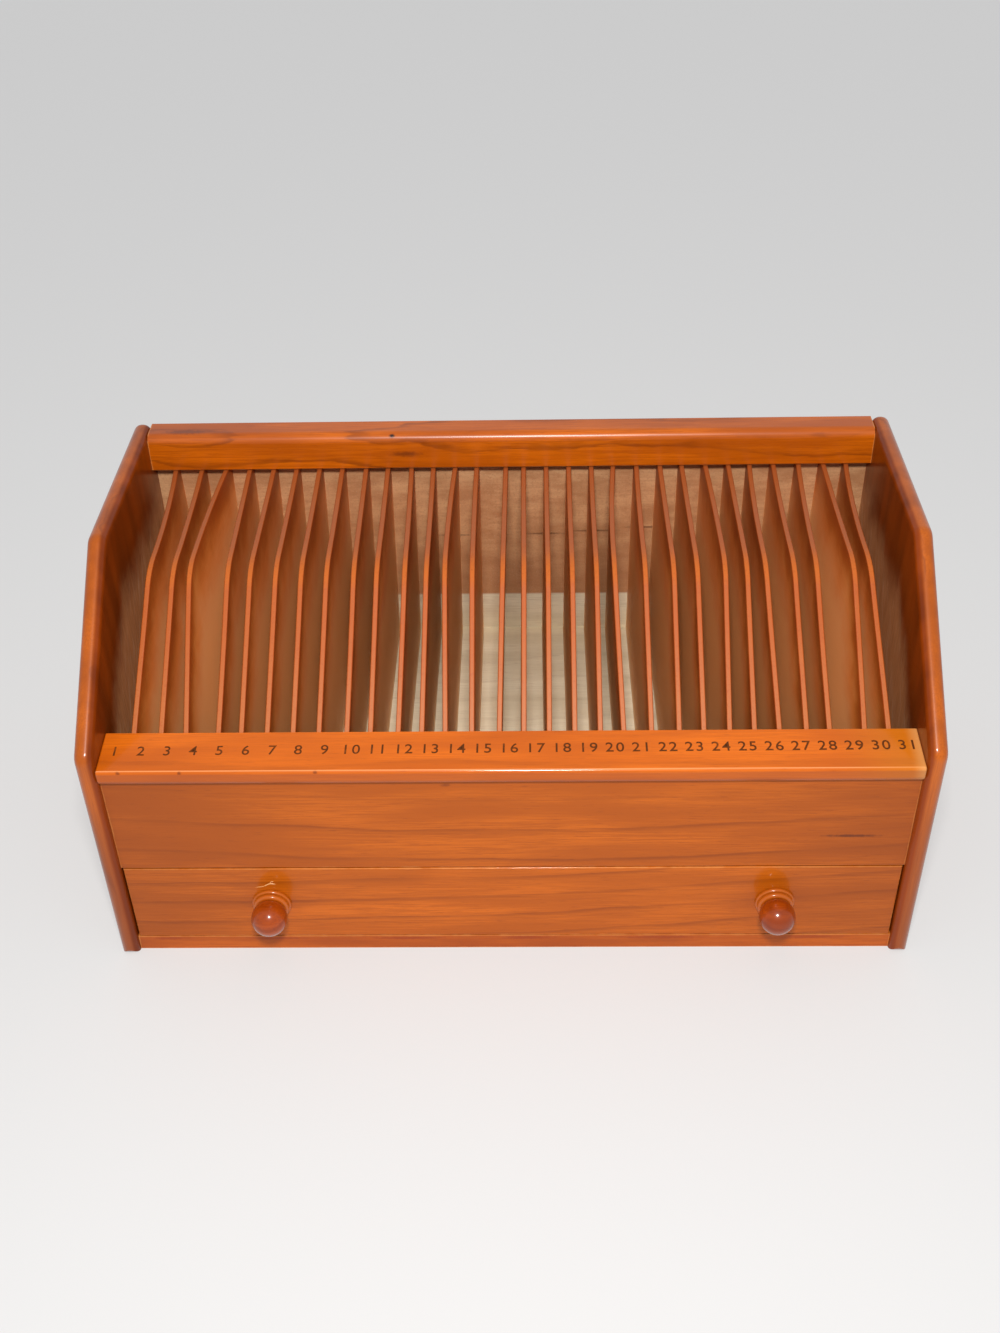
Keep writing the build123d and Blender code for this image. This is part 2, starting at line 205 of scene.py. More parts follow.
def seen_share(tree):
    """One for the rays of the camera, of gloss and of glass, and nothing for the rays that light."""
    path = add(tree, "ShaderNodeLightPath").outputs
    seen = sums(tree, "MAXIMUM", path["Is Camera Ray"], path["Is Glossy Ray"])
    return sums(tree, "MAXIMUM", seen, path["Is Transmission Ray"])


def deselect():
    bpy.ops.object.select_all(action="DESELECT")


deselect()
bpy.ops.mesh.primitive_plane_add(size=floor_size, location=(0, 0, cad_low.z))
floor = bpy.context.object
floor.name = "floor"
floor_material = plain_material("pale_floor", floor_pale, floor_roughness)
tree = floor_material.node_tree
glow = add(tree, "ShaderNodeEmission", {"Color": (*floor_pale, 1), "Strength": 1.0}).outputs[0]
lit = tree.nodes["Principled BSDF"].outputs[0]
own_light = times(tree, seen_share(tree), floor_glow)
mixed = add(tree, "ShaderNodeMixShader", {0: own_light, 1: lit, 2: glow}).outputs[0]
tree.links.new(mixed, tree.nodes["Material Output"].inputs["Surface"])
floor.data.materials.append(floor_material)

world = bpy.data.worlds.new("studio")
bpy.context.scene.world = world
world.use_nodes = True
sky = world.node_tree.nodes["Background"]
sky.inputs["Color"].default_value = (*sky_colour, 1)
sky_strength = sums(world.node_tree, "MULTIPLY_ADD", seen_share(world.node_tree), sky_seen, sky_light)
world.node_tree.links.new(sky_strength, sky.inputs["Strength"])
bpy.context.scene.view_settings.view_transform = "Standard"
print("floor and world")

# %% The lamp
key_aim = Vector((0, -100, 80)) * mm
key_angle = radians(54)
key_aside = 0.014
key_distance = 0.85
key_width = 0.1
key_depth = 0.07
key_watts = 6.9
key_colour = (1.0, 0.98, 0.955)

key_place = key_aim + Vector((key_aside, -cos(key_angle), sin(key_angle))) * key_distance
key_turn = (key_aim - key_place).to_track_quat("-Z", "Y").to_matrix().to_4x4()
key_data = bpy.data.lights.new("key", "AREA")
key_data.shape = "RECTANGLE"
key_data.size = key_width
key_data.size_y = key_depth
key_data.energy = key_watts
key_data.color = key_colour
key = bpy.data.objects.new("key", key_data)
key.matrix_world = Matrix.Translation(key_place) @ key_turn
bpy.context.scene.collection.objects.link(key)
print("key lamp at", [round(v, 2) for v in key_place])

# %% [markdown]
# ## Wood, once
# A board is cut out of a trunk, so its dark growth lines are slices of cylinders round the
# pith. One node group does just that: it measures the distance from a pith line that runs
# along X, bends it with slow noise, and draws a dark line at every ring. Face, edge and end
# grain then agree with each other on every board, and each board only needs its own pith,
# spacing and turn. The group also gives slow tone, fine fibres and short pores.

# %% The wood group
seed_steps = (137.0, 71.0, 29.0)    # millimetres between two seeds
bow_scale = 10000.0
wander_scale = 4.0
quick_share = 0.5
fine_rings = 3.3                    # fine lines for each strong one
sharp_side = 0.9                    # millimetres from nothing to full on a line's sharp side
main_soft, fine_soft, wide_soft = 2.4, 1.1, 6.5
fine_share, wide_share = 0.3, 0.2
noise_middle = 0.5

wood, wood_in, wood_out = new_group(
    "Wood Grain",
    [("Vector", "Vector", None), ("Seed", "Float", 0.0), ("Pith", "Vector", (0.0, 0.0, -0.2)),
     ("Ring Spacing", "Float", 12.0), ("Wander", "Float", 2.5), ("Tilt", "Float", 0.0),
     ("Bow", "Float", 0.0), ("Ring Shift", "Float", 0.0)],
    [("Tone", "Float"), ("Rings", "Float"), ("Fibres", "Float"), ("Pores", "Float")],
)
board_mm = to_mm(wood, wood_in["Vector"])
seed_shift = vector_math(wood, "SCALE", seed_steps, scale=wood_in["Seed"])[0]
own_mm = vector_math(wood, "ADD", board_mm, seed_shift)[0]


def grain_noise(along, across, offset=0.0, detail=1.0, roughness=0.5):
    """Noise whose blots are about `along` millimetres long with the grain and `across` wide."""
    return noise(wood, stretch(wood, own_mm, along, across, offset), 1.0, detail, roughness)


# the distance from the pith, in the plane across the grain
from_pith = vector_math(wood, "SUBTRACT", board_mm, to_mm(wood, wood_in["Pith"]))[0]
across_grain = vector_math(wood, "MULTIPLY", from_pith, (0.0, 1.0, 1.0))[0]
ring_radius = vector_math(wood, "LENGTH", across_grain)[1]

# the way a ring climbs along the board
along = parts(wood, board_mm)[0]
climb = times(wood, along, wood_in["Tilt"])
arch = times(wood, times(wood, along, along), sums(wood, "DIVIDE", wood_in["Bow"], bow_scale))
slow = sums(wood, "SUBTRACT", grain_noise(95, 45), noise_middle)
quick = sums(wood, "SUBTRACT", grain_noise(30, 7, 5.3, detail=3.0), noise_middle)
bends = sums(wood, "MULTIPLY_ADD", quick, quick_share, slow)
swing = times(wood, bends, times(wood, wood_in["Wander"], wander_scale))
path = sums(wood, "ADD", sums(wood, "ADD", climb, arch), swing)
ring_place = sums(wood, "SUBTRACT", sums(wood, "SUBTRACT", ring_radius, path), wood_in["Ring Shift"])
ring_turn = sums(wood, "DIVIDE", ring_place, wood_in["Ring Spacing"])


def ring_lines(turn, spacing, soft):
    """A line at each whole turn, sharp on one side and soft over some millimetres on the other."""
    phase = sums(wood, "FRACT", turn)
    before = times(wood, sums(wood, "SUBTRACT", 1.0, phase), spacing)
    after = times(wood, phase, spacing)
    soft_side = ramp(wood, before, low=0.0, high=soft, out_low=1.0, out_high=0.0)
    hard_side = ramp(wood, after, low=0.0, high=sharp_side, out_low=1.0, out_high=0.0)
    return sums(wood, "ADD", soft_side, hard_side)


fine_spacing = sums(wood, "DIVIDE", wood_in["Ring Spacing"], fine_rings)
fine_turn = times(wood, ring_turn, fine_rings)
strong = ramp(wood, grain_noise(60, 9, 9.1, detail=3.0), low=0.32, high=0.62, out_low=0.25)
faint = ramp(wood, grain_noise(45, 6, 2.4), low=0.42, high=0.7)
main_lines = times(wood, ring_lines(ring_turn, wood_in["Ring Spacing"], main_soft), strong)
fine_lines = times(wood, ring_lines(fine_turn, fine_spacing, fine_soft), faint)
wide_shade = times(wood, ring_lines(ring_turn, wood_in["Ring Spacing"], wide_soft), wide_share)
rings = sums(wood, "ADD", sums(wood, "MULTIPLY_ADD", fine_lines, fine_share, main_lines), wide_shade)

tone = grain_noise(90, 14, 3.7, detail=2.5)
fibres = grain_noise(26, 0.8, 1.9, detail=4.0, roughness=0.7)
pores = ramp(wood, grain_noise(7, 0.5, 7.7, detail=2.0), low=0.6, high=0.76)
for label, value in (("Tone", tone), ("Rings", rings), ("Fibres", fibres), ("Pores", pores)):
    wood.links.new(value, wood_out[label])
print("group", wood.name, "with", len(wood.nodes), "nodes")

# %% [markdown]
# ## Worn edges with painted highlights, and old stain
# Hands rub the stain off edges first, so one group finds how near a point is to the
# edges of a board from the board's own box, and breaks that band up with noise. The pale
# band is partly a painted highlight along those edges.
# A second, smaller group makes one soft spot, for a streak or a nick at its own place.
# A third measures how deep a point lies in the slots. The maker sprayed the stain from
# outside, so it fades to bare tan wood some way down between the boards.

# %% The edge wear and painted highlight group
wear_highlight_group, wear_highlight_in, wear_highlight_out = new_group(
    "Edge Wear And Highlight",
    [("Vector", "Vector", None), ("Low", "Vector", None), ("High", "Vector", None), ("Width", "Float", 1.2)],
    [("Mask", "Float")],
)
from_low = vector_math(wear_highlight_group, "SUBTRACT", wear_highlight_in["Vector"], wear_highlight_in["Low"])[0]
from_high = vector_math(wear_highlight_group, "SUBTRACT", wear_highlight_in["High"], wear_highlight_in["Vector"])[0]
gaps = parts(wear_highlight_group, to_mm(wear_highlight_group, vector_math(wear_highlight_group, "MINIMUM", from_low, from_high)[0]))
# a point on a face has one distance near nothing, so the middle one is the distance to the edge
smaller = sums(wear_highlight_group, "MINIMUM", gaps[0], gaps[1])
larger = sums(wear_highlight_group, "MAXIMUM", gaps[0], gaps[1])
to_edge = sums(wear_highlight_group, "MAXIMUM", smaller, sums(wear_highlight_group, "MINIMUM", larger, gaps[2]))
band_noise = noise(wear_highlight_group, to_mm(wear_highlight_group, wear_highlight_in["Vector"]), scale=0.11, detail=4.0, roughness=0.65)
uneven_width = ramp(wear_highlight_group, band_noise, low=0.3, high=0.75, out_low=0.5, out_high=1.5)
width_share = sums(wear_highlight_group, "DIVIDE", to_edge, times(wear_highlight_group, wear_highlight_in["Width"], uneven_width))
# the band is partly wear and partly a painted highlight
worn_highlight_band = ramp(wear_highlight_group, width_share, low=0.5, high=1.0, out_low=1.0, out_high=0.0)
wear_highlight_group.links.new(worn_highlight_band, wear_highlight_out["Mask"])
print("group", wear_highlight_group.name)

# %% The spot group
spot_ragged = 0.9    # how far noise pushes a spot's edge, as a share of its half size

spot, spot_in, spot_out = new_group(
    "Spot",
    [("Vector", "Vector", None), ("Centre", "Vector", None), ("Half Size", "Vector", (0.01, 0.01, 0.01))],
    [("Mask", "Float")],
)
spot_place = vector_math(spot, "SUBTRACT", spot_in["Vector"], spot_in["Centre"])[0]
spot_share = vector_math(spot, "LENGTH", vector_math(spot, "DIVIDE", spot_place, spot_in["Half Size"])[0])[1]
spot_noise = noise(spot, to_mm(spot, spot_in["Vector"]), scale=0.5, detail=3.0, roughness=0.6)
spot_push = sums(spot, "SUBTRACT", spot_noise, noise_middle)
spot_edge = sums(spot, "MULTIPLY_ADD", spot_push, spot_ragged, spot_share)
spot_mask = ramp(spot, spot_edge, low=0.2, high=1.0, out_low=1.0, out_high=0.0)
spot.links.new(spot_mask, spot_out["Mask"])
print("group", spot.name)

# %% The stain depth group
# The dividers' front edges climb straight from the number rail to where their flat tops begin.
flat_from_y = -9 * mm
rail_low, rail_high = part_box("number_rail")
divider_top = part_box("divider_16")[1][2]
slope = (divider_top - rail_high[2]) / (flat_from_y - rail_high[1])

deep, deep_in, deep_out = new_group(
    "Stain Depth",
    [("Vector", "Vector", None), ("Full", "Float", 6.0), ("Bare", "Float", 70.0), ("Ragged", "Float", 8.0)],
    [("Depth", "Float")],
)
at = parts(deep, deep_in["Vector"])
rise = times(deep, sums(deep, "SUBTRACT", at[1], rail_high[1]), slope)
top_line = sums(deep, "MINIMUM", sums(deep, "ADD", rise, rail_high[2]), divider_top)
below = times(deep, sums(deep, "SUBTRACT", top_line, at[2]), 1 / mm)
torn = noise(deep, to_mm(deep, deep_in["Vector"]), scale=0.045, detail=4.0, roughness=0.6)
up_or_down = ramp(deep, torn, low=0.3, high=0.7, out_low=-1.0, out_high=1.0)
uneven = sums(deep, "MULTIPLY_ADD", up_or_down, deep_in["Ragged"], below)
deep.links.new(ramp(deep, uneven, deep_in["Full"], deep_in["Bare"]), deep_out["Depth"])
print("group", deep.name, "slope", round(slope, 3))

# %% [markdown]
# ## The finishes
# Each finish below starts the same way: object coordinates, turned so that their X runs along
# the grain, go through the wood group. What differs is the colour of the bare and the stained
# wood, how much the growth lines show, how worn the edges are and how glossy the lacquer is.
# The lacquer is the shader's own coat, so its gloss stays when the light changes.

# %% A wood finish
soft_span = (0.3, 0.7)       # where a noise passes slowly from a first colour to a second
thread_span = (0.42, 0.61)
fibre_height = 0.5           # the fibres' relief, as a share of the pores' depth
rough_swing = 0.12           # how far the fibres change the roughness
relief_depth = 0.2 * mm
lacquer_ior = 1.4
lacquered_from = 0.3         # a coat above this gives the shine, so the wood under it needs little
specular_under_coat = 0.1
specular_plain = 0.3


def wood_finish(name, light, dark, ring, grain_turn=(0, 0, 0), ring_share=0.5, pore_share=0.25,
                fibre_share=0.55, gloss=0.35, coat=0.75, coat_roughness=0.1, bump=0.12,
                ring_fade=None, **growth):
    """A grained material. Growth holds the wood group's own values. Returns what later steps add to."""
    material = bpy.data.materials.new(name)
    material.use_nodes = True
    tree = material.node_tree
    shader = tree.nodes["Principled BSDF"]
    place = add(tree, "ShaderNodeTexCoord").outputs
    turned = add(tree, "ShaderNodeMapping", {"Vector": place["Object"], "Rotation": grain_turn}).outputs[0]
    grain = group_node(tree, wood, {"Vector": turned, **{k.replace("_", " "): v for k, v in growth.items()}})
    colour = blend_colour(tree, ramp(tree, grain["Tone"], *soft_span), light, dark)
    threads = ramp(tree, grain["Fibres"], *thread_span, out_high=fibre_share)
    colour = blend_colour(tree, threads, colour, dark)
    rings = times(tree, grain["Rings"], ring_share)
    if ring_fade:
        rings = times(tree, rings, ramp(tree, parts(tree, place["Object"])[2], *ring_fade))
    colour = blend_colour(tree, rings, colour, ring)
    colour = blend_colour(tree, times(tree, grain["Pores"], pore_share), colour, ring)
    rough = sums(tree, "MULTIPLY_ADD", grain["Fibres"], rough_swing, gloss - rough_swing / 2)
    tree.links.new(rough, shader.inputs["Roughness"])
    height = sums(tree, "SUBTRACT", times(tree, grain["Fibres"], fibre_height), grain["Pores"])
    relief = add(tree, "ShaderNodeBump", {"Height": height, "Strength": bump, "Distance": relief_depth})
    tree.links.new(relief.outputs[0], shader.inputs["Normal"])
    specular = specular_under_coat if coat > lacquered_from else specular_plain
    shader.inputs["Specular IOR Level"].default_value = specular
    shader.inputs["Coat Weight"].default_value = coat
    shader.inputs["Coat Roughness"].default_value = coat_roughness
    shader.inputs["Coat IOR"].default_value = lacquer_ior
    tree.links.new(colour, shader.inputs["Base Color"])
    return {"material": material, "tree": tree, "shader": shader, "colour": colour,
            "place": place["Object"], "normal": place["Normal"], "grain": grain}


def recolour(finish, colour):
    """Takes a new last colour for a finish."""
    finish["colour"] = colour
    finish["tree"].links.new(colour, finish["shader"].inputs["Base Color"])


def tint(finish, share, colour):
    """Lays a colour over a finish, by a share that is a number or a socket."""
    recolour(finish, blend_colour(finish["tree"], share, finish["colour"], colour))


def worn_edges(finish, box, width, colour, share):
    """Rubs a finish's edges and paints a highlight along them, using the box of the board that it is on."""
    tree = finish["tree"]
    mask = group_node(tree, wear_highlight_group, {"Vector": finish["place"], "Low": box[0], "High": box[1], "Width": width})
    tint(finish, times(tree, mask["Mask"], share), colour)


def spotted(finish, centre, half_size, colour, share=0.8):
    """Adds one soft spot; its centre and half sizes are in millimetres."""
    tree = finish["tree"]
    links = {"Vector": finish["place"], "Centre": Vector(centre) * mm, "Half Size": Vector(half_size) * mm}
    tint(finish, times(tree, group_node(tree, spot, links)["Mask"], share), colour)


def stain_depth(finish, full, bare, ragged):
    """Nothing down to `full` millimetres below the dividers' edge line, and one from `bare` on."""
    links = {"Vector": finish["place"], "Full": full, "Bare": bare, "Ragged": ragged}
    return group_node(finish["tree"], deep, links)["Depth"]


def facing_share(finish, axis, low, high):
    """How much a face looks along an axis (0, 1 or 2), from low (none) to high (all)."""
    tree = finish["tree"]
    return ramp(tree, parts(tree, finish["normal"])[axis], low, high)


def facing_line(finish, axis, middle, half):
    """A line where a round turns past one direction: a painted highlight along an edge that is also rubbed
    along its whole length.
    """
    tree = finish["tree"]
    off = sums(tree, "ABSOLUTE", sums(tree, "SUBTRACT", parts(tree, finish["normal"])[axis], middle))
    return ramp(tree, off, low=half / 2, high=half, out_low=1.0, out_high=0.0)


def paint(name, material):
    """Gives a carried-over board its finish."""
    node = nodes[name]
    node.data.materials.clear()
    node.data.materials.append(material)


stain_light = (0.56, 0.122, 0.004)
stain_dark = (0.40, 0.081, 0.002)
stain_ring = (0.18, 0.032, 0.002)
worn_and_highlight_colour = (0.74, 0.30, 0.08)
print("stain colours", stain_light, stain_dark)

# %% [markdown]
# ## Long boards: fronts, rails and base
# Their grain runs from side to side, which is the sorter's X, so the vector needs no turn.
# Every board gets its own seed and spacing, because no two boards come from the same place
# in the tree. The fixed front and the drawer front have dark lines that climb and fall slowly.
# The number rail is rubbed pale along its upper front edge, with a painted highlight along
# that edge, and its right end has gone yellow and then bare.

# %% Fronts, rails and base
below_board = (0, 0, -0.25)
panel_fade = (84 * mm, 94 * mm, 1.0, 0.3)    # the lower half shows the growth lines best
long_boards = {
    "front_panel": dict(Seed=1.62, Pith=below_board, Ring_Spacing=19.0, Wander=1.4, Bow=2.5, Ring_Shift=3.0,
                        ring_share=0.42, pore_share=0.36, fibre_share=0.8, coat=0.5, ring_fade=panel_fade),
    "drawer_front": dict(Seed=2.93, Pith=below_board, Ring_Spacing=12.6, Wander=1.3, Tilt=0.05, Bow=1.6,
                         ring_share=0.38, pore_share=0.36, fibre_share=0.8, coat=0.5),
    "number_rail": dict(Seed=3.1, Pith=(0, -0.15, 0.02), Ring_Spacing=17.0, Wander=1.5, ring_share=0.2),
    "back_rail": dict(Seed=4.2, Pith=(0, 0.05, 0.26), Ring_Spacing=13.0, Wander=5.0, Tilt=0.03,
                      ring_share=0.5, fibre_share=0.7, coat=0.9, coat_roughness=0.26),
    "base_board": dict(Seed=5.7, Pith=(0, 0.02, -0.04), Ring_Spacing=9.0, Wander=2.0, ring_share=0.35,
                       coat=0.5),
}
# (light, dark) where a board took the stain differently from the fixed front
own_stain = {
    "number_rail": ((0.72, 0.148, 0.003), (0.54, 0.102, 0.002)),
    "back_rail": ((0.64, 0.135, 0.002), (0.42, 0.078, 0.001)),
    "base_board": ((0.57, 0.118, 0.004), (0.37, 0.064, 0.002)),
    "drawer_front": ((0.61, 0.134, 0.005), (0.43, 0.088, 0.002)),
}
worn_highlight_width = 0.6    # millimetres
worn_highlight_share = 0.45
long_finishes = {}
for name, look in long_boards.items():
    light, dark = own_stain.get(name, (stain_light, stain_dark))
    finish = wood_finish(f"{name}_stain", light, dark, stain_ring, **look)
    if name != "number_rail":
        # pale worn edges, partly a painted highlight along them
        worn_edges(finish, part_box(name), worn_highlight_width, worn_and_highlight_colour, worn_highlight_share)
    paint(name, finish["material"])
    long_finishes[name] = finish

# painted shade: the fronts are darker towards their ends
for name in ("front_panel", "drawer_front"):
    finish = long_finishes[name]
    tree = finish["tree"]
    off_middle = sums(tree, "ABSOLUTE", parts(tree, finish["place"])[0])
    tint(finish, ramp(tree, off_middle, low=70 * mm, high=195 * mm, out_high=0.34), stain_ring)

# the number rail: its rubbed edge with a painted highlight along it, its yellow and bare right end, and the
# shade under its nose
rail_worn_and_highlight = (0.85, 0.36, 0.14)
rail_yellow = (0.62, 0.20, 0.004)
rail_bared = (0.74, 0.36, 0.12)
worn_highlight_line_share = 0.6
nose_share = 0.5
finish = long_finishes["number_rail"]
tree = finish["tree"]
along_rail = parts(tree, finish["place"])[0]
# a pale line along the nose: worn, and a painted highlight
worn_highlight_line = facing_line(finish, axis=1, middle=-0.42, half=0.2)
tint(finish, times(tree, worn_highlight_line, worn_highlight_line_share), rail_worn_and_highlight)
tint(finish, ramp(tree, along_rail, low=145 * mm, high=186 * mm, out_high=0.45), rail_yellow)
tint(finish, ramp(tree, along_rail, low=181 * mm, high=188 * mm, out_high=0.6), rail_bared)
under_nose = facing_share(finish, axis=2, low=0.7, high=-0.4)
tint(finish, times(tree, under_nose, nose_share), stain_ring)
print("stained", ", ".join(long_boards))

# %% [markdown]
# ## Streaks and nicks
# What time has left on the long boards comes next: a few dark streaks, a nail hole in the
# back rail, three chips along the number rail, and dark red smears on the base's front edge
# where the stain pooled under the drawer. Each is one spot, placed in millimetres.

# %% Streaks and nicks
dark_streak = (0.10, 0.018, 0.004)
nail_hole = (0.02, 0.006, 0.003)
base_smear = (0.27, 0.030, 0.003)
# (board, centre, half size, colour, share)
marks = (
    ("front_panel", (160, -93, 77.4), (19, 6, 1.3), dark_streak, 0.8),
    ("front_panel", (-29, -93, 111), (3.5, 6, 1.4), dark_streak, 0.5),
    ("back_rail", (-54, 81.5, 184), (11, 6, 2.2), dark_streak, 0.6),
    ("back_rail", (-168, 87, 195.3), (16, 3.2, 6), dark_streak, 0.6),
    ("back_rail", (-60.7, 83, 194), (2.1, 2, 1.3), nail_hole, 1.0),
)
chips = (-177.5, -149.5, -87.6)
chip_half_size = (1.5, 3, 0.9)
# (middle, half length) along the base
smears = ((-172, 14), (-118, 20), (-52, 26), (8, 18), (76, 30), (150, 24))
smear_share = 0.55
for name, centre, half_size, colour, share in marks:
    spotted(long_finishes[name], centre, half_size, colour, share)
for chip_x in chips:
    spotted(long_finishes["number_rail"], (chip_x, -96, 122.0), chip_half_size, stain_ring)
for smear_x, smear_half in smears:
    half_size = (smear_half, 6, 1.6)
    spotted(long_finishes["base_board"], (smear_x, -93, 7.2), half_size, base_smear, smear_share)
print(len(marks) + len(chips) + len(smears), "spots")

# %% [markdown]
# ## The two sides
# The outside and the rounded edges are stained like the fronts, under more lacquer. Inside, the
# wood is dark above the dividers, with less lacquer, and dull and bare between them. The stain
# depth group finds that line, and the face's own direction keeps it off the outside.

# %% Sides
side_light = (0.50, 0.106, 0.003)
side_dark = (0.35, 0.069, 0.002)
inside_light = (0.27, 0.043, 0.002)
inside_dark = (0.16, 0.024, 0.001)
bare_light = (0.64, 0.32, 0.13)
bare_dark = (0.45, 0.20, 0.08)
scratch_pale = (0.66, 0.44, 0.27)
upright_grain = (0, radians(90), 0)
scratch_turn = (radians(-62), 0, radians(90))
outside_coat = 0.9
inside_coat_share = 0.45
for name, inward in (("left_side", 1), ("right_side", -1)):
    finish = wood_finish(f"{name}_stain", side_light, side_dark, stain_ring, upright_grain,
                         Seed=6.0 + inward, Pith=(0, -0.02, -0.3 * inward), Ring_Spacing=14.0, Wander=4.0,
                         ring_share=0.45, coat_roughness=0.2)
    tree = finish["tree"]
    grain = finish["grain"]
    place = parts(tree, finish["place"])
    looks_in = times(tree, parts(tree, finish["normal"])[0], inward)
    inner = ramp(tree, looks_in, low=0.2, high=0.65)
    inside = blend_colour(tree, ramp(tree, grain["Tone"], *soft_span), inside_light, inside_dark)
    bare = blend_colour(tree, ramp(tree, grain["Fibres"], *soft_span), bare_light, bare_dark)
    # envelopes that were pushed in have left slanting scratches
    place_mm = to_mm(tree, finish["place"])
    slanted = add(tree, "ShaderNodeMapping", {"Vector": place_mm, "Rotation": scratch_turn}).outputs[0]
    scratch_noise = noise(tree, stretch(tree, slanted, along=22, across=0.7), detail=2.0, roughness=0.6)
    scratches = ramp(tree, scratch_noise, low=0.55, high=0.66, out_high=0.75)
    bare = blend_colour(tree, scratches, bare, scratch_pale)
    # the bare part starts behind the side's front edge, which is stained all the way down
    behind_edge = ramp(tree, place[1], low=-90 * mm, high=-84 * mm)
    unstained = times(tree, stain_depth(finish, full=7.0, bare=33.0, ragged=4.0), behind_edge)
    inside = blend_colour(tree, unstained, inside, bare)
    # painted shade: the outside is darker towards the bottom
    low_painted_shade = ramp(tree, place[2], low=60 * mm, high=125 * mm, out_low=0.45, out_high=0.0)
    outside = blend_colour(tree, low_painted_shade, finish["colour"], stain_ring)
    recolour(finish, blend_colour(tree, inner, outside, inside))
    dull = times(tree, inner, unstained)
    lacquer = ramp(tree, dull, low=0.0, high=1.0, out_low=outside_coat, out_high=0.0)
    less_inside = ramp(tree, inner, low=0.0, high=1.0, out_low=1.0, out_high=inside_coat_share)
    tree.links.new(times(tree, lacquer, less_inside), finish["shader"].inputs["Coat Weight"])
    paint(name, finish["material"])
print("stained the two sides")

# %% [markdown]
# ## Thirty dividers
# Each divider is a thin stained board with hardly any lacquer on its faces. Deep in the slots
# the stain thins to tan. Its top edge was sanded after staining, so faces that look up have a
# colour of their own, palest low on the slope, where that is partly a painted highlight, and
# darkest at the back, with small dark chips. Under that edge a painted shade darkens the first
# two centimetres of each face. One loop makes all of them, each with its own seed.

# %% Dividers
divider_light = (0.91, 0.33, 0.052)
divider_dark = (0.80, 0.26, 0.036)
divider_ring = (0.40, 0.10, 0.018)
divider_edge = (0.52, 0.115, 0.008)
divider_sanded_and_highlight = (0.57, 0.18, 0.038)
divider_back_edge = (0.36, 0.085, 0.016)
divider_shade_and_chips = (0.36, 0.06, 0.003)
divider_bare = (0.97, 0.61, 0.26)
along_depth = (0, 0, radians(90))
first_seed = 10
seed_step = 1.37
bare_share = 0.9
face_coat, edge_coat = 0.1, 0.4
slope_span = (-70 * mm, -25 * mm)    # where the edge turns from its palest colour to its usual one
back_span = (-14 * mm, 14 * mm)      # and from that to its darkest
divider_names = sorted(n for n in nodes if n.startswith("divider_"))
for number, name in enumerate(divider_names, 1):
    finish = wood_finish(f"{name}_wood", divider_light, divider_dark, divider_ring, along_depth,
                         ring_share=0.1, gloss=0.5, coat=0.15, coat_roughness=0.3, Pith=(0, 0.3, 0.05),
                         Seed=first_seed + number * seed_step, Ring_Spacing=22.0, Wander=4.0)
    tree = finish["tree"]
    # painted shade just under the top edge
    shade_below_edge = stain_depth(finish, full=-1.0, bare=21.0, ragged=2.0)
    recolour(finish, blend_colour(tree, shade_below_edge, divider_shade_and_chips, finish["colour"]))
    faded = stain_depth(finish, full=7.0, bare=44.0, ragged=4.0)
    tint(finish, times(tree, faded, bare_share), divider_bare)
    along_y = parts(tree, finish["place"])[1]
    # the edge's palest colour, low on the slope, is partly a painted highlight
    edge = blend_colour(tree, ramp(tree, along_y, *slope_span), divider_sanded_and_highlight, divider_edge)
    edge = blend_colour(tree, ramp(tree, along_y, *back_span), edge, divider_back_edge)
    chipped = noise(tree, to_mm(tree, finish["place"]), scale=0.7, detail=3.0, roughness=0.7)
    edge = blend_colour(tree, ramp(tree, chipped, low=0.5, high=0.72, out_high=0.55), edge, divider_shade_and_chips)
    top = facing_share(finish, axis=2, low=0.66, high=0.92)
    tint(finish, top, edge)
    lacquer = ramp(tree, top, low=0.0, high=1.0, out_low=face_coat, out_high=edge_coat)
    tree.links.new(lacquer, finish["shader"].inputs["Coat Weight"])
    paint(name, finish["material"])
print("finished", len(divider_names), "dividers")

# %% [markdown]
# ## Raw boards
# The slot floor is bare pale wood, and so is the back panel up to the straight line where the
# sprayed stain begins. Behind the dividers that line is the clearest thing in the slots. A few
# fine cracks run through the stained part. The drawer's box and the dowels were never stained.

# %% Slot floor, back panel and drawer box
raw_light = (0.86, 0.785, 0.60)
raw_dark = (0.72, 0.635, 0.455)
panel_light = (0.81, 0.735, 0.56)
panel_dark = (0.66, 0.58, 0.42)
crack_dark = (0.13, 0.055, 0.025)
raw_ring = (0.42, 0.30, 0.18)
box_light = (0.76, 0.62, 0.44)
box_dark = (0.62, 0.47, 0.31)
wash_light = (0.66, 0.37, 0.18)
wash_dark = (0.45, 0.21, 0.09)
wash_low = (0.36, 0.15, 0.065)
stain_line_z = 88.6 * mm
stain_line_half = 0.8 * mm
raw = dict(gloss=0.7, coat=0.0, pore_share=0.4)
raw_ring_share = 0.3
floor_ring_share = 0.14

finish = wood_finish("slot_floor_raw", raw_light, raw_dark, raw_ring, Seed=41.0, Pith=(0, 0.3, -0.25),
                     Ring_Spacing=11.0, Wander=3.0, ring_share=floor_ring_share, **raw)
paint("slot_floor", finish["material"])

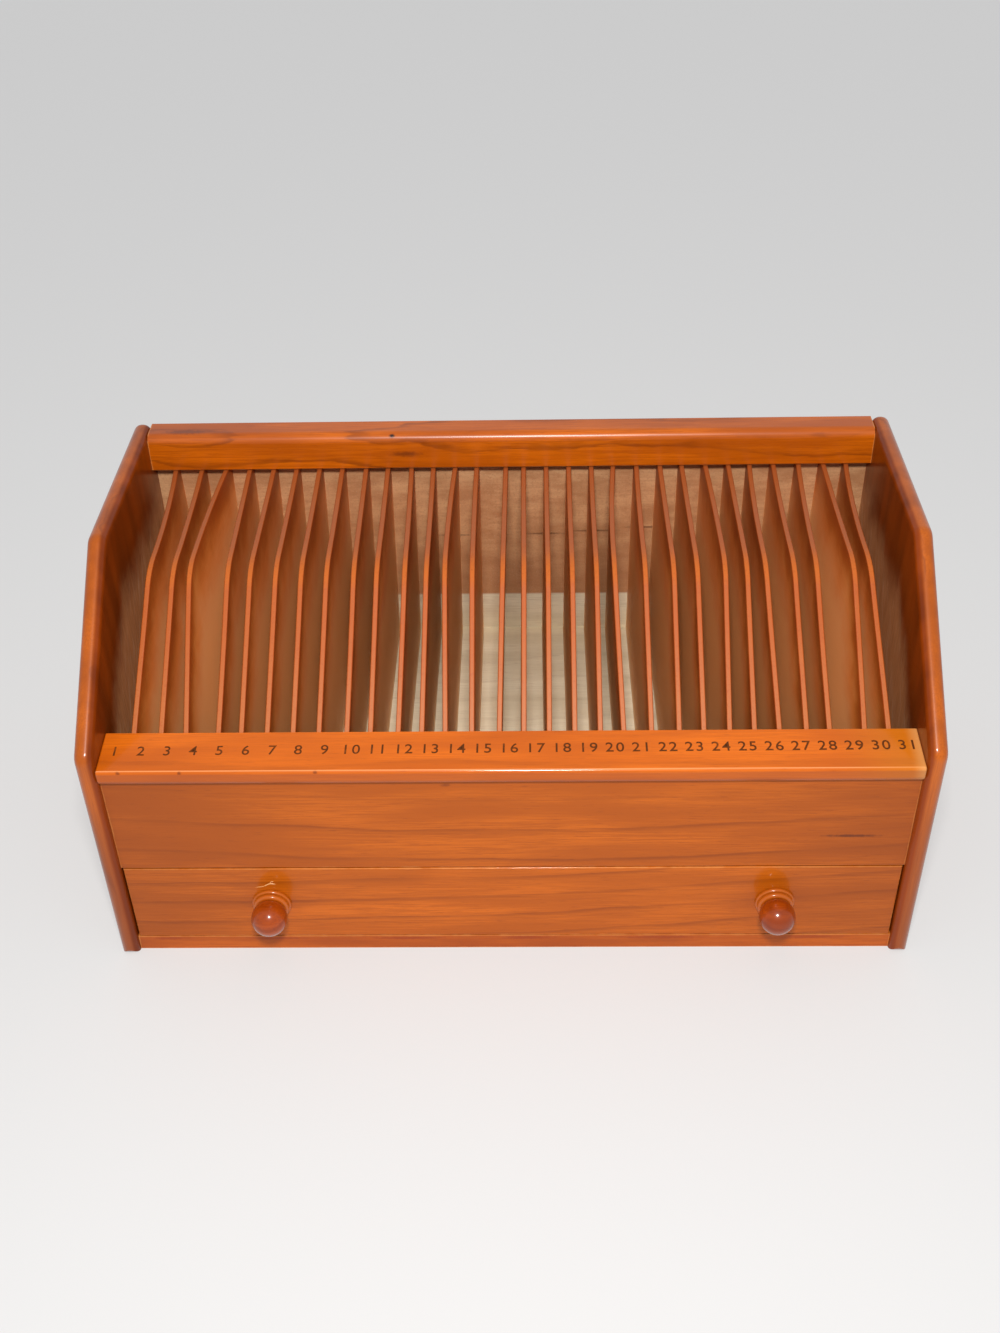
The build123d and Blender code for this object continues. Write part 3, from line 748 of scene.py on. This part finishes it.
finish = wood_finish("back_panel_raw", panel_light, panel_dark, raw_ring, Seed=43.0, Pith=(0, -0.3, 0.1),
                     Ring_Spacing=8.0, Wander=4.0, ring_share=raw_ring_share, **raw)
tree = finish["tree"]
height = parts(tree, finish["place"])[2]
wash = ramp(tree, height, stain_line_z - stain_line_half, stain_line_z + stain_line_half)
place_mm = to_mm(tree, finish["place"])
patch_noise = noise(tree, stretch(tree, place_mm, along=30, across=11), detail=5.0, roughness=0.65)
brown = blend_colour(tree, ramp(tree, patch_noise, low=0.34, high=0.66), wash_light, wash_dark)
brown = blend_colour(tree, ramp(tree, height, low=150 * mm, high=95 * mm, out_high=0.6), brown, wash_low)
# small specks took more stain, and so did the long fibres
specks = noise(tree, place_mm, scale=0.8, detail=3.0, roughness=0.7)
brown = blend_colour(tree, ramp(tree, specks, low=0.48, high=0.7, out_high=0.55), brown, wash_low)
long_fibres = ramp(tree, finish["grain"]["Fibres"], low=0.4, high=0.7, out_high=0.5)
brown = blend_colour(tree, long_fibres, brown, wash_dark)
# and here and there the pale wood shows through
bare_dots = noise(tree, place_mm, scale=1.7, detail=2.0)
brown = blend_colour(tree, ramp(tree, bare_dots, low=0.6, high=0.75, out_high=0.35), brown, raw_dark)
tint(finish, times(tree, wash, facing_share(finish, axis=1, low=-0.5, high=-0.9)), brown)
# fine cracks run with the grain of the stained veneer, which rises a little to the right
panel_face_y = 90
crack_share = 0.75
for crack_x, crack_z, crack_half in ((18, 128.6, 15), (45, 130.2, 17), (74, 132.2, 17), (-31, 128.1, 12)):
    spotted(finish, (crack_x, panel_face_y, crack_z), (crack_half, 2, 0.9), crack_dark, crack_share)
paint("back_panel", finish["material"])

first_box_seed = 50
along_width = (0, 0, 0)
box_turns = {
    "drawer_left_side": along_depth,
    "drawer_right_side": along_depth,
    "drawer_back": along_width,
    "drawer_bottom": along_width,
    "carcase_dowels": along_width,
}
for seed, (name, grain_turn) in enumerate(box_turns.items(), first_box_seed):
    finish = wood_finish(f"{name}_raw", box_light, box_dark, raw_ring, grain_turn, Seed=seed,
                         Pith=(0, 0.03, -0.06), Ring_Spacing=8.0, ring_share=raw_ring_share, **raw)
    paint(name, finish["material"])
print("raw wood on", 2 + len(box_turns), "pieces")

# %% [markdown]
# ## Knobs and metal
# The knobs are turned from one piece of wood and thickly lacquered, so they are the glossiest
# part: a clear coat shows the lamp as a small bright point and the floor as a pale crescent
# below. Their collars, next to the drawer front, are painted paler than their balls, a painted
# reflection of the floor and the lamp. The pins and screws can only be seen from behind or
# with the drawer open.

# %% Knobs
knob_light = (0.40, 0.062, 0.001)
knob_dark = (0.25, 0.034, 0.001)
knob_ring = (0.14, 0.015, 0.001)
knob_collar_reflection = (0.54, 0.125, 0.008)
collar_span = (-100 * mm, -97 * mm)    # from the ball's colour to the collar's
collar_reflection_share = 0.75
for seed, name in ((61.0, "knob_left"), (62.4, "knob_right")):
    finish = wood_finish(f"{name}_stain", knob_light, knob_dark, knob_ring, ring_share=0.35,
                         pore_share=0.1, coat=1.0, coat_roughness=0.17, bump=0.02, Seed=seed,
                         Pith=(0, -0.1, -0.02), Ring_Spacing=7.0)
    tree = finish["tree"]
    out_from_front = parts(tree, finish["place"])[1]
    # painted reflection: the collar is paler towards the drawer front
    tint(finish, ramp(tree, out_from_front, *collar_span, out_high=collar_reflection_share), knob_collar_reflection)
    paint(name, finish["material"])
print("two knobs finished")


# %% Metal
def mottled_material(name, first, second, roughness, scale, low, high, grain=0.5, most=1.0):
    """A plain material with soft patches of a second colour. Returns it, its shader and its noise."""
    material = plain_material(name, first, roughness)
    tree = material.node_tree
    shader = tree.nodes["Principled BSDF"]
    place = add(tree, "ShaderNodeTexCoord").outputs["Object"]
    mottle = noise(tree, place, scale, detail=3.0, roughness=grain)
    colour = blend_colour(tree, ramp(tree, mottle, low, high, out_high=most), first, second)
    tree.links.new(colour, shader.inputs["Base Color"])
    return material, shader, mottle


steel_bright = (0.58, 0.57, 0.55)
steel_dull = (0.40, 0.39, 0.37)
steel_rough_low, steel_rough_high = 0.25, 0.5
steel, steel_shader, steel_mottle = mottled_material(
    "plain_steel", steel_bright, steel_dull, roughness=0.35, scale=900.0, low=soft_span[0], high=soft_span[1]
)
steel_shader.inputs["Metallic"].default_value = 1
steel_rough = ramp(steel.node_tree, steel_mottle, *soft_span, steel_rough_low, steel_rough_high)
steel.node_tree.links.new(steel_rough, steel_shader.inputs["Roughness"])
for name in ("back_panel_pins", "drawer_pins", "knob_screws"):
    paint(name, steel)
print("metal finished")

# %% [markdown]
# ## The numbers 1 to 31
# Plain numbers are printed in dark ink on the sloping top of the front rail, one over each
# slot, and the print gets a little heavier to the right. Each is typed as a text object, given
# a hair of thickness so that it is a closed mesh, laid on the slope, and all of them are joined
# into one piece.

# %% Numbers
number_pitch = 12.1 * mm
number_shift = 0.2 * mm
middle_number = 16
last_number = 31
digit_height = 5.8 * mm
digit_font_share = 0.72       # the height of a digit, as a share of the font's size
digit_spacing = 1.2
ink_thickness = 0.04 * mm
ink_spread = 0.003            # how far the ink spreads, as a share of the digit's height
ink_spread_step = 0.0003      # and how much further with each number
rail_fall = 2.7 * mm
rail_depth = rail_high[1] - rail_low[1]
rail_slope = atan2(rail_fall, rail_depth)
print_line = 10.9 * mm        # the numbers' middle, from the rail's back edge
print_tilt = 0.0037           # the row was printed slightly out of line with the rail
merge_distance = 0.001 * mm


def join_and_clean(pieces, name):
    """Joins meshes into one piece, merges their doubled points and turns every face outwards."""
    deselect()
    for piece in pieces:
        piece.select_set(True)
    bpy.context.view_layer.objects.active = pieces[0]
    bpy.ops.object.join()
    joined = bpy.context.object
    joined.name = name
    bpy.ops.object.mode_set(mode="EDIT")
    bpy.ops.mesh.select_all(action="SELECT")
    bpy.ops.mesh.remove_doubles(threshold=merge_distance)
    bpy.ops.mesh.normals_make_consistent(inside=False)
    bpy.ops.object.mode_set(mode="OBJECT")
    joined.data.materials.clear()
    return joined


number_pieces = []
for number in range(1, last_number + 1):
    deselect()
    bpy.ops.object.text_add(location=(0, 0, 0))
    text = bpy.context.object
    text.data.body = str(number)
    text.data.align_x = "CENTER"
    text.data.align_y = "CENTER"
    text.data.size = digit_height / digit_font_share
    text.data.space_character = digit_spacing
    text.data.extrude = ink_thickness
    text.data.offset = digit_height * (ink_spread + ink_spread_step * number)
    text.data.resolution_u = 4
    bpy.ops.object.convert(target="MESH")
    digits = bpy.context.object
    digit_x = (number - middle_number) * number_pitch + number_shift
    from_back = print_line - digit_x * print_tilt
    digit_z = rail_high[2] - from_back * rail_fall / rail_depth + ink_thickness
    digit_place = (digit_x, rail_high[1] - from_back, digit_z)
    digits.matrix_world = Matrix.Translation(digit_place) @ Matrix.Rotation(rail_slope, 4, "X")
    bpy.ops.object.transform_apply(location=True, rotation=True, scale=True)
    number_pieces.append(digits)
numbers = join_and_clean(number_pieces, "slot_numbers")

ink_dark = (0.11, 0.030, 0.006)
ink_faded = (0.30, 0.07, 0.01)
ink, ink_shader, _ = mottled_material(
    "number_ink", ink_dark, ink_faded, roughness=0.5, scale=260.0, low=0.5, high=0.8, grain=0.6, most=0.6
)
ink_shader.inputs["Specular IOR Level"].default_value = 0.1
numbers.data.materials.append(ink)
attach(numbers, "carcase")
print("numbers:", len(numbers.data.polygons), "faces")

# %% [markdown]
# ## A lacquer run
# Above the left knob a little lacquer ran while it was wet, and dried as a thin raised thread
# with a short fork. It is drawn as two smooth curves that lie in the face of the drawer front,
# each with a round bevel and closed ends, and then made one mesh.

# %% Lacquer run
drawer_face_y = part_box("drawer_front")[0][1]


def lacquer_thread(radius, *points):
    """A bead on the drawer front along points (x, z, share of the radius), in millimetres."""
    deselect()
    bpy.ops.curve.primitive_nurbs_path_add(location=(0, 0, 0))
    thread = bpy.context.object
    line = thread.data.splines[0]
    for point, (x, z, share) in zip(line.points, points):
        point.co = (x * mm, drawer_face_y, z * mm, 1)
        point.radius = share
    line.order_u = 3
    line.use_endpoint_u = True
    line.resolution_u = 6
    thread.data.bevel_depth = radius * mm
    thread.data.bevel_resolution = 2
    thread.data.use_fill_caps = True
    bpy.ops.object.convert(target="MESH")
    return bpy.context.object


thread_radius = 0.28
fork_radius = 0.21
long_thread = lacquer_thread(
    thread_radius,
    (-124.5, 44.2, 0.3), (-120.9, 44.4, 0.9), (-118.6, 46.0, 0.8), (-116.8, 46.9, 1.3), (-114.4, 46.1, 0.4),
)
fork = lacquer_thread(
    fork_radius,
    (-117.4, 46.7, 0.8), (-116.9, 47.3, 0.9), (-116.6, 47.9, 1.0), (-116.1, 48.2, 0.8), (-115.3, 48.0, 0.4),
)
lacquer_run = join_and_clean([long_thread, fork], "lacquer_run")
bpy.ops.object.shade_smooth()

bead_pale = (0.84, 0.44, 0.17)
bead_amber = (0.66, 0.22, 0.03)
bead, bead_shader, _ = mottled_material(
    "dried_lacquer", bead_pale, bead_amber, roughness=0.2, scale=700.0, low=0.35, high=0.65
)
bead_shader.inputs["Coat Weight"].default_value = 1.0
lacquer_run.data.materials.append(bead)
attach(lacquer_run, "drawer")
print("lacquer run:", len(lacquer_run.data.polygons), "faces")
